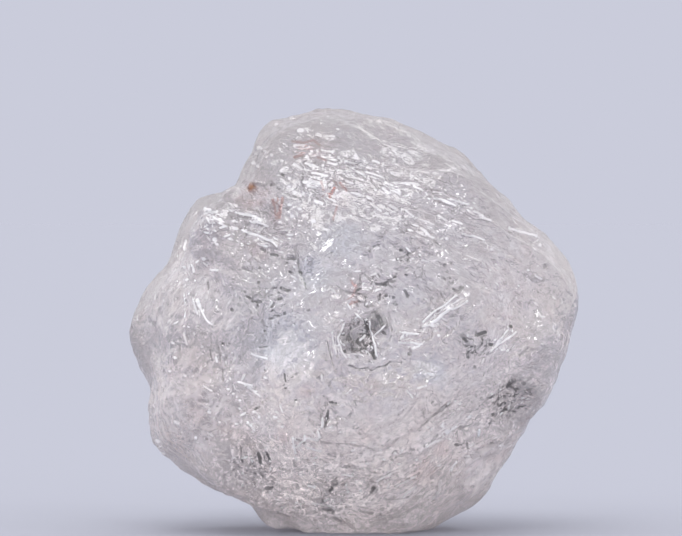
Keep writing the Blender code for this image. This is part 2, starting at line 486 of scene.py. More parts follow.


# The strokes are placed as they are seen in the picture: straight ones, dots and bent ones.
# Ridges: raised crests that carry a painted highlight.
CROWN_RIDGES = lines(
    (366, 172, 382, 178), (384, 182, 391, 185), (413, 186, 420, 190, 1.5), (382, 188, 388, 192, 1.5),
    (392, 190, 399, 194), (432, 197, 452, 205, 1.5, 1.0), (448, 198, 464, 203), (372, 161, 378, 163),
    (418, 218, 431, 223, 1.2, 0.5), (296, 146, 306, 146, 1.2, 0.6), (317, 134, 334, 137, 1.4, 0.4),
    (323, 150, 333, 153, 1.4, 0.9), (306, 164, 318, 168, 1.4, 0.9), (313, 173, 328, 176, 1.6, 1.0),
    (328, 164, 336, 164), (346, 161, 356, 163, 1.2, 0.7), (356, 172, 364, 176),
    (306, 181, 320, 183, 2.4, 0.8), (308, 186, 316, 187, 1.5, 0.8), (328, 197, 335, 200, 1.3, 0.9),
    (315, 200, 323, 203, 1.8, 0.9), (295, 164, 302, 169, 2.0, 0.8), (418, 227, 425, 231, 1.3, 0.8),
    (423, 232, 431, 235, 1.3, 0.8), (450, 219, 459, 223, 1.3, 0.8), (479, 217, 487, 219, 1.4, 0.7),
    (506, 227, 518, 230, 1.4, 0.7), (519, 231, 534, 235, 1.5, 0.8), (532, 274, 538, 277, 1.8, 0.7),
    (471, 211, 480, 214, 1.2, 0.6), (419, 257, 426, 258, 1.3, 0.7), (345, 180, 352, 183, 1.4, 0.8),
    (352, 192, 360, 194, 1.4, 0.8), (366, 196, 372, 199, 1.4, 0.7), (372, 205, 379, 210, 1.3, 0.7),
    (388, 204, 396, 209, 1.3, 0.7), (404, 210, 411, 215, 1.3, 0.7), (436, 214, 443, 219, 1.2, 0.7),
) + dots(
    (488, 247, 1.8, 0.7), (537, 244, 2.0, 0.6), (398, 192, 1.8, 0.8), (386, 212, 1.8, 0.8),
    (408, 203, 1.6, 0.7), (444, 236, 1.6, 0.6), (301, 131, 3.0, 0.7), (292, 118, 2.0, 0.4),
    (277, 124, 2.0, 0.5), (260, 148, 2.2, 0.6), (266, 151, 1.8, 0.5), (273, 155, 1.5, 0.4),
    (254, 163, 2.0, 0.6), (259.5, 166.5, 2.0, 0.6), (312, 152, 1.8), (308, 158, 2.0), (290, 178, 1.6),
    (290.5, 186, 1.6), (295, 191, 1.8), (304, 193, 2.0), (331, 185, 2.4), (337, 190, 1.6), (291, 204, 1.8),
    (301, 208, 2.0), (304, 215, 2.0), (293, 215, 1.6), (281, 221, 1.8), (314, 219, 2.4),
) + (
    Stroke(((386, 163), (410, 171), (438, 174)), 3.5, 0.2, 0.014),
    Stroke(((392, 182), (398, 183), (416, 184)), 1.2, 0.7),
    Stroke(((459, 232), (470, 234), (480, 238)), 1.1, 0.8),
    Stroke(((386, 165), (396, 168), (407, 171)), 1.3, 0.6),
)
LEFT_RIDGES = lines(
    (239, 211, 261, 217, 1.6, 1.0, 0.026), (256, 220, 269, 225, 1.4, 0.9), (208, 207, 218, 211, 1.5, 0.9),
    (207, 212, 220, 211, 1.5, 0.9), (218, 217, 225, 220), (222, 222, 230, 225),
    (260, 242, 269, 244, 1.3, 0.9), (186, 241, 185, 249, 1.3, 0.8), (194, 263, 196, 270, 1.4, 0.8),
    (196, 298, 200, 310, 1.3, 0.8), (214, 267, 220, 268, 1.5, 0.9), (219, 352, 220, 358),
    (249, 416, 257, 424, 1.3, 0.8), (254, 349, 269, 354, 1.3, 0.8), (241, 377, 254, 380, 1.4, 0.9),
    (248, 381, 259, 386, 1.2, 0.8), (258, 388, 262, 390, 1.2, 0.7), (282, 398, 284, 405, 1.2, 0.7),
    (206, 381, 215, 386, 1.0, 0.6), (187, 330, 190, 341, 1.4, 0.5), (294, 431, 297, 446, 1.3, 0.9),
    (309, 440, 321, 444, 1.3, 0.8), (323, 411, 322, 419, 1.6, 0.9), (319, 424, 320, 429, 1.6, 0.9),
) + dots(
    (236, 388, 1.5), (231, 383, 1.3, 0.8), (226, 350, 1.3, 0.8), (179, 418, 2.0, 0.6), (188, 372, 1.4, 0.5),
    (205, 343, 1.6, 0.5), (268, 372, 1.4, 0.7), (243, 395, 1.4, 0.7), (222, 417, 1.4, 0.7), (211, 218, 1.8),
    (211, 227.5, 1.6), (217.5, 237.5, 2.4), (220, 242, 2.0), (238, 227.5, 2.4), (186, 266, 2.0),
    (189, 277.5, 2.0), (206, 257.5, 2.0), (176, 341, 1.6), (178, 354, 1.6), (172, 368, 1.6),
    (158, 440, 2.4, 0.7), (163, 453, 2.0, 0.6), (212, 407, 1.6), (198, 433, 1.6), (256, 406, 1.8),
    (261.5, 410, 1.8), (277, 410, 2.0), (284, 419, 1.6), (239, 418, 1.8),
) + (
    Stroke(((250, 231), (272, 238), (279, 244)), 1.6, 1.0, 0.026),
    Stroke(((201, 297), (206, 311), (215, 321)), 1.4, 0.9),
    Stroke(((300, 438), (308, 430), (318, 433)), 1.2, 0.8),
)
RIGHT_RIDGES = lines(
    (373, 330, 384, 321, 1.0, 0.9), (360, 335, 364, 331, 1.3, 1.0), (352, 348, 362, 349, 1.1, 0.5),
    (401, 328, 416, 329, 1.3, 0.9), (398, 337, 420, 338, 1.3, 0.9), (410, 344, 418, 340, 1.2, 0.8),
    (487, 346, 503, 327, 1.2, 0.8), (492, 342, 512, 329, 1.2, 0.8), (566, 335, 563, 360, 1.4, 0.3, 0.014),
    (444, 428, 455, 421, 1.4, 0.9), (424, 440, 439, 434, 1.3, 0.8), (477, 425, 476, 432, 1.4, 1.0),
    (434, 493, 439, 477, 2.0, 0.4, 0.02), (416, 382, 423, 379, 1.2, 0.8), (405, 384, 410, 391, 1.4, 0.8),
    (442, 426, 452, 422, 1.1, 0.8), (454, 457, 449, 466, 1.3, 0.9), (432, 494, 439, 485, 1.5, 0.6),
    (395, 481, 406, 474, 1.3, 0.7), (402, 492, 414, 481, 1.3, 0.6), (377, 474, 390, 467, 1.2, 0.7),
    (343, 468, 353, 469, 1.2, 0.7), (309, 480, 316, 481, 1.5, 0.9), (313, 498, 334, 503, 1.4, 0.6),
) + dots(
    (426, 421, 1.4, 0.8), (434, 436, 1.4, 0.8), (498, 443, 1.6, 0.7), (499, 346, 2.0, 0.8), (467, 412, 2.0),
    (440, 419, 2.0), (437.5, 460, 1.8), (415, 454, 1.5), (436, 331, 1.6), (394, 446, 1.6),
) + (
    Stroke(((368, 317), (371, 330), (373, 338), (376, 350)), 1.1, 1.0),
    Stroke(((343, 320), (338, 332), (341, 345), (345, 351)), 1.3, 0.8),
    Stroke(((332, 328), (334, 340), (336, 348)), 1.1, 0.6),
    Stroke(((352, 318), (357, 310), (362, 315)), 1.1, 0.6),
    Stroke(((420, 317), (437, 303), (453, 292)), 1.2, 1.0, 0.026),
    Stroke(((429, 318), (437, 313), (446, 304)), 1.9, 1.0, 0.03),
    Stroke(((448, 305), (455, 302), (463, 297)), 1.5, 0.8),
    Stroke(((420, 322), (426, 320), (431, 322)), 1.3, 0.8),
)
# Grooves: cut lines that carry painted shade.
LEFT_GROOVES = lines(
    (303, 173, 305, 189, 1.2, 0.8), (315, 189, 318, 198, 1.4, 0.6), (263, 247, 267, 249, 1.6, 0.9),
    (273, 252, 279, 253, 2.0, 1.0), (289, 256, 297, 256, 1.5, 0.9), (290, 270, 294, 270, 1.5),
    (246, 266, 255, 269, 1.2, 0.7), (283, 285, 290, 287, 2.0, 1.0), (255, 298, 262, 298, 2.0, 1.0),
    (273, 303, 276, 299, 1.6, 0.9), (211, 280, 212, 286, 1.1, 0.7), (182, 342, 183, 352, 1.0, 0.4),
    (222, 344, 223, 356, 1.1, 0.7), (213, 346, 215, 356, 1.1, 0.7), (225, 365, 226, 375, 1.1, 0.7),
    (273, 314, 281, 312, 1.4, 0.9), (262, 343, 270, 341, 1.1, 0.7), (287, 368, 288, 375, 1.3, 0.9),
    (257, 403, 261, 401, 1.4, 0.9), (202, 396, 211, 396, 2.2, 0.45), (242, 441, 244, 456, 1.3, 1.0),
    (260, 447, 262, 456, 2.2, 1.0), (269, 447, 271, 453, 1.6, 1.0), (267, 484, 273, 482, 1.9, 1.0),
    (337, 476, 330, 485, 1.8, 1.0), (336, 472, 333, 476, 1.4, 0.9), (320, 499, 324, 496, 1.6, 0.9),
    (324, 505, 332, 503, 1.6, 0.9), (334, 514, 341, 517, 1.6, 0.8), (279, 510, 291, 514, 1.3, 0.6),
    (298, 432, 306, 435, 1.8, 0.7), (330, 395, 337, 396, 1.4, 0.9), (353, 393, 356, 397, 1.2, 0.7),
    (370, 486, 373, 482, 2.4, 1.0),
) + dots(
    (284, 174.5, 1.8, 0.9), (274, 184.5, 2.0, 0.9), (280.5, 189, 1.5), (262, 265, 1.6),
    (261, 280, 1.8, 0.9), (276, 285, 1.6), (282, 295, 2.2, 1.0), (247.5, 287.5, 1.6),
    (234.5, 306, 1.8, 0.9), (286, 309, 1.8, 0.9), (277, 312.5, 2.0, 0.9), (309, 305.5, 1.6),
    (155, 322, 2.4, 0.5), (184, 337, 2.0, 0.6), (208.5, 331, 1.6, 0.6), (226.5, 339, 1.4, 0.9),
    (233, 339, 1.3, 0.8), (267, 326, 1.7, 1.0), (267, 365, 1.4, 0.8), (287, 381.5, 1.6, 0.8),
    (297, 392, 1.7, 0.9), (297, 367, 1.6, 0.8), (179, 386, 2.0, 0.4), (159, 389, 1.6, 0.5),
    (220, 401, 1.4, 0.6), (209, 434, 1.4, 0.8), (172, 441, 1.8, 0.4), (196, 412, 2.0, 0.4),
    (271.5, 459, 1.6, 0.9), (256.5, 468, 1.8, 0.9), (237, 456, 1.8), (238, 468.5, 1.8), (243, 474, 1.8),
    (274, 476, 1.6), (326, 489, 1.8, 0.9), (333, 508, 1.8, 1.0), (347.6, 460, 2.0, 1.0),
) + (
    Stroke(((296, 246), (299, 258), (301, 269)), 1.2, 0.8),
    Stroke(((301, 269), (305, 276), (308, 284)), 1.8, 1.0),
    Stroke(((321, 434), (341, 436), (363, 439), (376, 444), (389, 439)), 1.0, 0.55, 0.018),
    Stroke(((329, 404), (327, 413), (325, 419)), 1.8, 1.0),
)
RIGHT_GROOVES = lines(
    (364, 315, 366, 330, 2.0, 0.8), (359, 329, 368, 331, 1.2, 0.9), (370, 338, 373, 352, 1.8, 1.0),
    (361, 344, 370, 346, 1.8, 1.0), (377, 312, 382, 320, 2.2, 1.0), (388, 356, 400, 356, 1.0, 0.5),
    (378, 290, 379, 296, 1.5, 0.9), (374, 280, 385, 281, 1.3, 0.9), (403, 287, 406, 293, 1.5, 0.9),
    (372, 245, 377, 243, 1.6, 0.9), (436, 273, 441, 276, 1.4, 0.8), (451, 286, 458, 284, 2.4, 0.9),
    (458, 331, 462, 336, 1.8, 1.0), (472, 330, 481, 328, 1.8, 1.0), (465, 345, 464, 352, 1.6, 0.9),
    (516, 352, 524, 345, 1.3, 0.8), (484, 393, 491, 391, 1.7, 1.0), (504, 383, 509, 378, 2.0, 0.9),
    (509, 378, 516, 376, 1.4, 0.6), (487, 420, 489, 417, 1.5, 0.9), (498, 409, 502, 406, 1.6, 1.0),
    (506, 406, 514, 409, 1.2, 0.8), (417, 422, 431, 409, 1.2, 0.6, 0.03),
    (431, 409, 437, 404, 1.6, 0.8, 0.034), (437, 404, 446, 398, 2.2, 1.0, 0.034),
    (446, 398, 452, 394, 1.0, 0.5), (453, 440, 459, 440, 1.3, 0.9), (465, 439, 466, 444, 1.5, 0.8),
    (457, 423, 464, 421, 1.4, 0.7),
) + dots(
    (343, 329, 2.0, 1.0), (344, 345, 2.0, 1.0), (355, 343, 1.8, 0.9), (393.5, 300, 2.2, 1.0),
    (392, 294, 1.8, 0.9), (384.5, 292, 1.5, 0.9), (399, 248, 1.8, 1.0), (378, 219, 1.6, 0.6),
    (441, 263, 2.2, 0.9), (447, 260, 1.6, 0.7), (407, 252, 1.8, 0.7), (332, 250, 1.4, 0.9),
    (405, 229, 2.2, 0.5), (542, 265, 2.4, 0.5), (501, 280, 2.6, 0.4), (447, 275, 1.4, 0.8),
    (405, 265, 1.6, 0.7), (353, 262, 1.5, 0.6), (364, 253, 1.4, 0.6), (417, 246, 1.4, 0.7),
    (426, 252, 1.3, 0.6), (407.5, 347.5, 2.2, 1.0), (455, 288, 1.8, 0.7), (471, 362, 1.6, 0.8),
    (487, 340, 2.0, 1.0), (507, 323, 2.0, 1.0), (521, 380, 2.2, 0.6), (525, 387, 1.8, 0.7),
    (501, 392, 1.8, 0.6), (528, 391, 1.6, 0.6), (491, 410, 1.8, 1.0), (517, 404, 1.4, 0.7),
    (510, 399, 1.3, 0.7), (489, 439, 1.6, 0.8),
) + (
    Stroke(((337, 282), (345, 287), (355, 290), (366, 291)), 1.1, 0.7),
    Stroke(((350, 360), (358, 362), (366, 362), (371, 364), (380, 360), (388, 356)), 1.1, 0.9),
    Stroke(((328, 335), (331, 350), (334, 360)), 1.0, 0.6),
    Stroke(((388, 308), (390, 325), (388, 335)), 1.0, 0.4),
    Stroke(((431, 238), (434, 242), (438, 244)), 1.2, 0.7),
    Stroke(((447, 478), (449, 466), (465, 452), (480, 445), (497, 440)), 1.6, 0.25, 0.02),
    Stroke(((452, 487), (462, 479), (473, 475)), 4.0, 0.22, 0.03),
)
STAINS = lines(
    (300, 149, 312, 150, 1.2, 0.4), (296, 157, 303, 156, 1.8, 0.7), (318, 158, 326, 161, 1.3, 0.5),
    (330, 196, 335, 188, 1.8, 0.8), (322, 181, 324, 190, 1.6, 0.5), (341, 183, 346, 190, 1.6, 0.6),
    (275, 199, 278, 217, 1.6, 0.7), (284, 198, 281, 216, 1.8, 0.8), (350, 300, 357, 297, 1.8, 0.7),
    (337, 206, 334, 218, 1.6, 0.6),
) + (
    Stroke(((293, 142), (304, 143), (314, 141), (319, 146)), 1.5, 0.6),
    Stroke(((351, 277), (356, 284), (352, 292)), 1.8, 0.5),
)
STROKES = {
    Mark.RIDGE: CROWN_RIDGES + LEFT_RIDGES + RIGHT_RIDGES,
    Mark.GROOVE: LEFT_GROOVES + RIGHT_GROOVES,
    Mark.STAIN: STAINS,
}


@dataclass(frozen=True)
class Spot:
    """A round place on the front, as seen from the front.

    Attributes:
        x: To the right of the stone's middle.
        z: Above the stone's middle.
        wide: Half its width.
        tall: Half its height.
        strength: How strong it is.
        dark: Share of dark marks among its marks.
    """

    x: float
    z: float
    wide: float
    tall: float
    strength: float = 1.0
    dark: float = 0.5

    def share(self, seen: np.ndarray) -> np.ndarray:
        """How strongly each point, by its X and Z, belongs to the spot: 0 at its rim."""
        distance = np.hypot((seen[:, 0] - self.x) / self.wide, (seen[:, 1] - self.z) / self.tall)
        return self.strength * fade(distance, 1.5)


def total_share(spots: tuple[Spot, ...], seen: np.ndarray, front: np.ndarray) -> np.ndarray:
    """The spots laid over one another, from 0 to 1 at each point, on the front alone."""
    return np.clip(sum(spot.share(seen) for spot in spots), 0.0, 1.0) * front


def spots(*rows: tuple[float, ...]) -> tuple[Spot, ...]:
    """Spots from rows of their values, in the order of their fields."""
    return tuple(Spot(*row) for row in rows)


# Clear places, where the skin is smooth and a bluish reflection is painted.
WINDOWS = spots(
    (-0.2, 1.2, 0.42, 0.3), (-0.95, -0.15, 0.6, 0.55, 0.8), (-0.6, 0.75, 0.36, 0.4, 0.7),
    (1.06, -0.56, 0.34, 0.3), (0.65, 0.45, 0.4, 0.25, 0.5), (-1.1, 0.1, 1.0, 1.1, 0.3),
    (-0.3, 1.05, 0.8, 0.8, 0.3),
)
# Painted shade: darker panes inside the hollow and among the dark clusters.
SHADED_PANES = spots(
    (-0.08, -0.17, 0.32, 0.26, 0.55), (0.28, 0.08, 0.26, 0.26, 0.62), (0.16, -0.1, 0.5, 0.44, 0.18),
    (2.25, -1.05, 0.5, 0.5, 0.3), (1.6, -0.15, 0.4, 0.34, 0.22), (2.3, -1.6, 0.4, 0.3, 0.2),
)
# Places with a rougher skin, which blurs what shows through it.
SOFT = spots(
    (1.15, 2.75, 1.6, 0.9, 0.5), (-3.0, -0.05, 0.6, 0.9, 0.6), (2.05, -2.2, 0.7, 0.6, 0.6),
)
# Calmer places, with less relief and fewer marks.
CALM = spots(
    (1.1, 2.6, 1.0, 0.34, 0.5), (2.0, 1.35, 0.9, 0.8, 0.3), (2.0, -2.1, 0.8, 0.5, 0.4),
    (-2.4, -1.4, 0.7, 0.8, 0.3),
)
# Milky places, where the frosted skin hides more of the clear crystal.
MILKY = spots(
    (-2.3, -1.2, 1.1, 1.1, 0.24), (-2.2, 0.6, 0.9, 1.3, 0.16), (2.0, -2.0, 0.9, 0.8, 0.3),
    (-1.2, -0.9, 0.9, 1.0, 0.08), (-2.98, -0.05, 0.4, 0.8, 0.14), (-1.4, -0.45, 0.5, 0.6, 0.1),
    (2.4, 0.2, 0.9, 1.8, 0.12), (-1.35, 1.85, 0.4, 0.28, 0.2), (1.65, -2.05, 0.36, 0.32, 0.16),
)
# Clusters of bright and dark marks, with calmer skin between them: painted glints, and dark pits that are
# partly painted shade.
CLUSTERS = spots(
    (-0.52, 2.16, 0.6, 0.48, 0.9, 0.4), (0.21, 2.04, 0.57, 0.43, 0.8, 0.4),
    (0.92, 1.83, 0.57, 0.31, 0.6, 0.3), (1.42, 1.69, 0.35, 0.17, 0.6, 0.2),
    (0.28, 1.4, 0.64, 0.35, 0.5, 0.5), (0.8, 1.19, 0.6, 0.4, 0.6, 0.5), (-1.84, 1.4, 0.64, 0.4, 1.0, 0.2),
    (-1.28, 1.22, 0.43, 0.26, 1.0, 0.2), (-0.85, 1.26, 0.28, 0.35, 0.8, 0.3),
    (-0.78, 0.84, 0.23, 0.35, 1.0, 0.8), (-1.29, 0.38, 0.48, 0.28, 1.0, 0.9),
    (0.14, 0.55, 0.5, 0.4, 1.0, 0.8), (0.64, 0.77, 0.43, 0.35, 0.9, 0.8),
    (0.1, -0.11, 0.51, 0.51, 1.0, 0.6), (0.75, -0.2, 0.34, 0.28, 0.8, 0.3),
    (1.15, 0.31, 0.37, 0.28, 0.7, 0.2), (1.67, -0.23, 0.31, 0.26, 1.0, 0.9),
    (2.06, -0.16, 0.35, 0.31, 0.6, 0.3), (2.15, 0.75, 0.7, 0.6, 0.4, 0.4),
    (2.13, -1.01, 0.43, 0.4, 1.0, 0.9), (1.21, -1.11, 0.4, 0.26, 0.8, 0.5),
    (1.21, -1.48, 0.37, 0.2, 0.8, 0.4), (-0.4, -1.19, 0.14, 0.26, 1.0, 0.8),
    (-0.71, -1.6, 0.23, 0.2, 1.0, 0.4), (0.07, -0.94, 0.57, 0.17, 0.5, 0.6),
    (-1.46, -2.0, 0.42, 0.42, 1.0, 0.75), (-0.35, -2.35, 0.34, 0.37, 1.0, 0.5),
    (0.21, -2.07, 0.34, 0.34, 0.8, 0.4), (-0.1, -2.0, 1.2, 0.5, 0.5, 0.3),
    (-1.42, -0.65, 0.4, 0.43, 0.6, 0.5), (-2.34, 0.34, 0.35, 0.71, 0.5, 0.3),
    (-1.8, -0.23, 0.17, 0.43, 0.6, 0.6), (-1.42, -1.22, 0.35, 0.21, 0.5, 0.3),
    (-0.92, -2.57, 0.35, 0.21, 0.6, 0.3), (-2.45, 0.9, 0.4, 0.6, 0.5, 0.3), (0.7, -1.9, 0.5, 0.4, 0.4, 0.5),
)
DARK_CLUSTERS = tuple(replace(spot, strength=spot.strength * spot.dark) for spot in CLUSTERS)
# Faint pink places.
BLUSHES = spots(
    (-1.34, 1.06, 0.24, 0.16, 1.0), (-1.5, 1.72, 0.3, 0.16, 0.9), (-0.55, 2.45, 0.4, 0.26, 0.7),
    (-0.25, 1.85, 0.3, 0.26, 0.6), (-1.08, 1.6, 0.16, 0.26, 0.9), (0.0, 0.5, 0.12, 0.32, 0.7),
    (1.2, -1.68, 0.16, 0.16, 0.9), (0.95, -2.0, 0.26, 0.3, 0.7), (-1.04, -1.45, 0.16, 0.12, 0.6),
    (2.4, -1.32, 0.16, 0.2, 0.7), (-2.1, 1.2, 0.16, 0.3, 0.4), (0.07, -0.74, 0.4, 0.22, 0.4),
    (-0.7, -0.86, 0.14, 0.16, 0.6), (2.2, 0.5, 0.8, 0.9, 0.16), (-0.3, -1.7, 0.5, 0.25, 0.25),
    (-2.3, -0.6, 0.5, 0.6, 0.22), (-1.34, 1.98, 0.3, 0.26, 0.45),
)
RUST_DOT = spots((-1.44, 1.95, 0.1, 0.09))


class Value:
    """A socket of a node tree that takes part in arithmetic."""

    def __init__(self, tree: "Tree", socket: bpy.types.NodeSocket) -> None:
        """Wraps an output socket of the tree that carries a number."""
        self.tree = tree
        self.socket = socket

    def __add__(self, other: "Value | float") -> "Value":
        """Sum."""
        return self.tree.math("ADD", self, other)

    def __sub__(self, other: "Value | float") -> "Value":
        """Difference."""
        return self.tree.math("SUBTRACT", self, other)

    def __rsub__(self, other: float) -> "Value":
        """Difference, from a plain number."""
        return self.tree.math("SUBTRACT", other, self)

    def __mul__(self, other: "Value | float") -> "Value":
        """Product."""
        return self.tree.math("MULTIPLY", self, other)

    __radd__ = __add__
    __rmul__ = __mul__

    def rising(self, start: float, end: float) -> "Value":
        """An even rise from 0 at start to 1 at end."""
        node = self.tree.node(
            "ShaderNodeMapRange",
            {"interpolation_type": "SMOOTHSTEP"},
            {"Value": self, "From Min": start, "From Max": end},
        )
        return Value(self.tree, node.outputs["Result"])


class Tree:
    """The node tree of a material or the world, with short ways to add nodes."""

    def __init__(self, nodes: bpy.types.NodeTree) -> None:
        """Clears the tree that is to be filled."""
        self.tree = nodes
        self.tree.nodes.clear()

    def node(self, kind: str, settings: dict | None = None, inputs: dict | None = None) -> bpy.types.Node:
        """Adds a node, sets it up and feeds its sockets.

        Args:
            kind: The node's type.
            settings: Its properties, which are set first.
            inputs: A value, a link or a Value for each named or numbered socket.

        Returns:
            The new node.
        """
        made = self.tree.nodes.new(kind)
        for name, setting in (settings or {}).items():
            setattr(made, name, setting)
        for name, given in (inputs or {}).items():
            self.feed(made.inputs[name], given)
        return made

    def feed(self, socket: bpy.types.NodeSocket, given: object) -> None:
        """Sets a socket to a plain value, or links it.

        Args:
            socket: The input socket.
            given: A plain value, an output socket or a Value.
        """
        if isinstance(given, Value):
            given = given.socket
        if isinstance(given, bpy.types.NodeSocket):
            self.tree.links.new(given, socket)
        else:
            socket.default_value = given

    def math(self, operation: str, first: object, second: object) -> Value:
        """Arithmetic on two numbers."""
        made = self.node("ShaderNodeMath", {"operation": operation}, {0: first, 1: second})
        return Value(self, made.outputs[0])

    def attribute(self, name: str) -> Value:
        """A number kept on the mesh's points."""
        made = self.node("ShaderNodeAttribute", {"attribute_name": name})
        return Value(self, made.outputs["Fac"])

    def arrow(self, name: str) -> bpy.types.NodeSocket:
        """A direction kept on the mesh's points."""
        return self.node("ShaderNodeAttribute", {"attribute_name": name}).outputs["Vector"]

    def noise(self, place: bpy.types.NodeSocket, scale: float, detail: float) -> Value:
        """Smooth noise over the surface.

        Args:
            place: Where it is read.
            scale: Bumps in a unit of place.
            detail: Layers of finer noise.

        Returns:
            A number about 0.5.
        """
        flat = {"noise_dimensions": "2D"}
        made = self.node("ShaderNodeTexNoise", flat, {"Vector": place, "Scale": scale, "Detail": detail})
        return Value(self, made.outputs["Fac"])

    def flecks(
        self, place: bpy.types.NodeSocket, scale: float, thin: float, slender: float, lie: object
    ) -> tuple[Value, Value]:
        """Small long flecks, one in each cell of a grid.

        Args:
            place: Where they are read.
            scale: Cells in a unit of place.
            thin: How many times a fleck's half width goes into a cell.
            slender: How many times longer than wide a fleck is.
            lie: The way that they lie, the longer the more alike.

        Returns:
            1 in the middle of a fleck and 0 outside it, and a number from 0 to 1 for each fleck.
        """
        cells = self.node(
            "ShaderNodeTexVoronoi", {"voronoi_dimensions": "2D"}, {"Vector": place, "Scale": scale}
        )
        away = self.vector("SUBTRACT", place, cells.outputs["Position"])
        turned = self.vector("SUBTRACT", cells.outputs["Color"], (0.5, 0.5, 0.5))
        turned = self.vector("MULTIPLY", turned, (1.0, 1.0, 0.0))
        along = self.vector("NORMALIZE", self.vector("ADD", turned, lie))
        run = self.dot(away, along)
        across = self.dot(away, away) - run * run * (1.0 - 1.0 / slender**2)
        fleck = (1.0 - across * (scale * thin) ** 2).rising(0.0, 0.6)
        parts = self.node("ShaderNodeSeparateXYZ", None, {0: cells.outputs["Color"]})
        return fleck, Value(self, parts.outputs["Z"])

    def cracks(self, place: bpy.types.NodeSocket, scale: float) -> Value:
        """Thin broken lines between the cells of a grid, 1 on a line and 0 away from it.

        Args:
            place: Where they are read.
            scale: Cells in a unit of place.

        Returns:
            The number's socket.
        """
        flat = {"voronoi_dimensions": "2D", "feature": "DISTANCE_TO_EDGE"}
        cells = self.node("ShaderNodeTexVoronoi", flat, {"Vector": place, "Scale": scale})
        edge, unbroken = (0.05, 0.14), (0.50, 0.62)
        line = 1.0 - Value(self, cells.outputs["Distance"]).rising(*edge)
        return line * self.noise(place, scale * 0.6, 0.0).rising(*unbroken)

    def strokes(self, mark: Mark) -> Value:
        """The strokes of one kind, from their place beside each of the mesh's points.

        Args:
            mark: The kind of stroke.

        Returns:
            A stroke's tone in its middle, falling to 0 at its edge.
        """
        parts = self.node("ShaderNodeSeparateXYZ", None, {0: self.arrow(mark.value)})
        along, beside, half = (Value(self, parts.outputs[axis]) for axis in "XYZ")
        past = self.math("MAXIMUM", self.math("ABSOLUTE", along, 0.0) - half, 0.0)
        return (1.0 - past * past - beside * beside).rising(0.0, 0.7) * self.attribute(mark.value + " tone")

    def vector(self, operation: str, *given: object) -> bpy.types.NodeSocket:
        """Arithmetic on vectors."""
        made = self.node("ShaderNodeVectorMath", {"operation": operation}, dict(enumerate(given)))
        return made.outputs["Vector"]

    def dot(self, first: object, second: object) -> Value:
        """The dot product of two vectors."""
        made = self.node("ShaderNodeVectorMath", {"operation": "DOT_PRODUCT"}, {0: first, 1: second})
        return Value(self, made.outputs["Value"])

    def mix(self, share: object, first: object, second: object) -> bpy.types.NodeSocket:
        """Mixes two colours.

        Args:
            share: How much of the second colour there is.
            first: The first colour.
            second: The second colour.

        Returns:
            The mixed colour's socket.
        """
        made = self.node("ShaderNodeMix", {"data_type": "RGBA"}, {"Factor": share})
        self.feed(made.inputs[MIX_FIRST], first)
        self.feed(made.inputs[MIX_SECOND], second)
        return made.outputs[MIX_RESULT]


def colour(red: float, green: float, blue: float) -> tuple[float, float, float, float]:
    """An opaque colour from its linear shares."""
    return (red, green, blue, 1.0)


